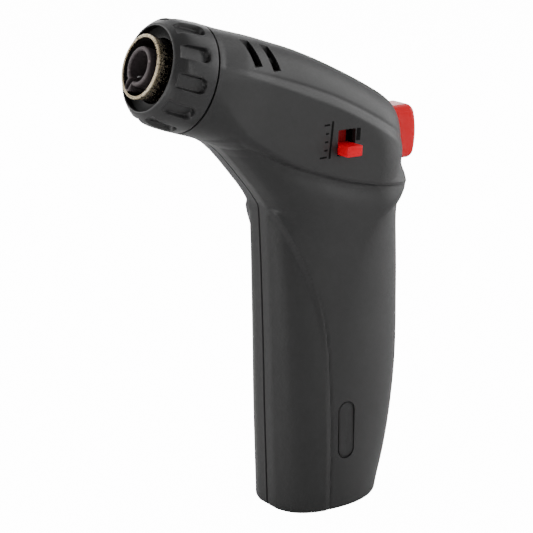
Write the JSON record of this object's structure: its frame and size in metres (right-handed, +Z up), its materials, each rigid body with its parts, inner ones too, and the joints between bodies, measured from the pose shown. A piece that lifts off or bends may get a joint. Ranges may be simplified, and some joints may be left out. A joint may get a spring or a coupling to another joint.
{
  "type": "butane torch",
  "caption": "Pistol-grip butane torch with a ribbed air collar, plated flame tube, push-in thumb trigger, slide lock, fuel window and base filling valve.",
  "frame": {"origin": "centre of the flat underside of the base, on the plane where the shell halves meet", "axes": "-X is the way the flame leaves, +X the back with the trigger button, +Z up along the handle, +Y across towards the right shell"},
  "size_m": [0.1038, 0.0385, 0.1636],
  "materials": {
    "shell_plastic": "fine matt texture",
    "collar_plastic": "fine matt texture",
    "window_plastic": "smoked, satin",
    "red_plastic": "gloss",
    "black_plastic": "gloss",
    "nickel": "heat-tinted nickel plate",
    "burnt_steel": "dull, heat-darkened",
    "steel": "satin",
    "brass": "satin",
    "ceramic": "glazed",
    "igniter_plastic": "satin",
    "tank_plastic": "translucent grey",
    "rubber": "matt"
  },
  "bodies": {
    "housing": {"left_shell": "shell_plastic", "right_shell": "shell_plastic", "base_plate": "shell_plastic", "collar_bushing": "collar_plastic", "nozzle_insulator": "black_plastic", "flame_tube": "nickel", "burner_tube": "burnt_steel", "flame_holder": "burnt_steel", "electrode": "steel", "electrode_insulator": "ceramic", "mixing_tube": "brass", "gas_jet": "brass", "gas_hose": "rubber", "fuel_tank": "tank_plastic", "tank_lid": "tank_plastic", "pickup_tube": "tank_plastic", "valve_body": "brass", "valve_seal": "rubber", "valve_spring": "steel", "lever_pin": "steel", "piezo_body": "tank_plastic", "trigger_spring": "steel", "ignition_lead": "rubber", "slot_backing": "black_plastic", "fuel_window": "window_plastic", "fill_valve_body": "brass", "fill_valve_seal": "rubber", "fill_valve_spring": "steel", "shell_screw_1": "steel", "shell_screw_2": "steel", "shell_screw_3": "steel", "shell_screw_4": "steel", "shell_screw_5": "steel", "shell_screw_6": "steel"},
    "collar": {"control_collar": "collar_plastic", "air_shutter": "black_plastic"},
    "trigger": {"trigger_button": "red_plastic", "piezo_plunger": "igniter_plastic"},
    "lever": {"valve_lever": "steel"},
    "valve": {"valve_stem": "brass"},
    "lock": {"lock_slider": "red_plastic"},
    "filler": {"fill_valve_stem": "steel"}
  },
  "joints": [
    {"name": "collar_turn", "type": "hinge", "parent": "housing", "child": "collar", "pos_m": [-0.04961, 0, 0.14463], "axis": [-0.9513, 0, 0.3083], "range_deg": [0, 90]},
    {"name": "trigger_push", "type": "slide", "parent": "housing", "child": "trigger", "axis": [-1, 0, 0], "range_m": [0, 0.004], "stiffness_N_per_m": 900, "springref_m": -0.001, "deforming": ["trigger_spring"]},
    {"name": "lever_rock", "type": "hinge", "parent": "housing", "child": "lever", "pos_m": [0.012, 0, 0.103], "axis": [0, -1, 0], "range_deg": [0, 18]},
    {"name": "valve_open", "type": "slide", "parent": "housing", "child": "valve", "axis": [0, 0, -1], "range_m": [0, 0.0024], "deforming": ["valve_spring"]},
    {"name": "lock_slide", "type": "slide", "parent": "housing", "child": "lock", "axis": [0.0649, 0, 0.9979], "range_m": [0, 0.0043]},
    {"name": "fill_open", "type": "slide", "parent": "housing", "child": "filler", "axis": [0, 0, 1], "range_m": [0, 0.002], "stiffness_N_per_m": 600, "springref_m": -0.001, "deforming": ["fill_valve_spring"]}
  ],
  "couplings": [
    {"joint": "lever_rock", "follows": "trigger_push", "rad_per_m": 78.5},
    {"joint": "valve_open", "follows": "trigger_push", "ratio": 0.6}
  ]
}
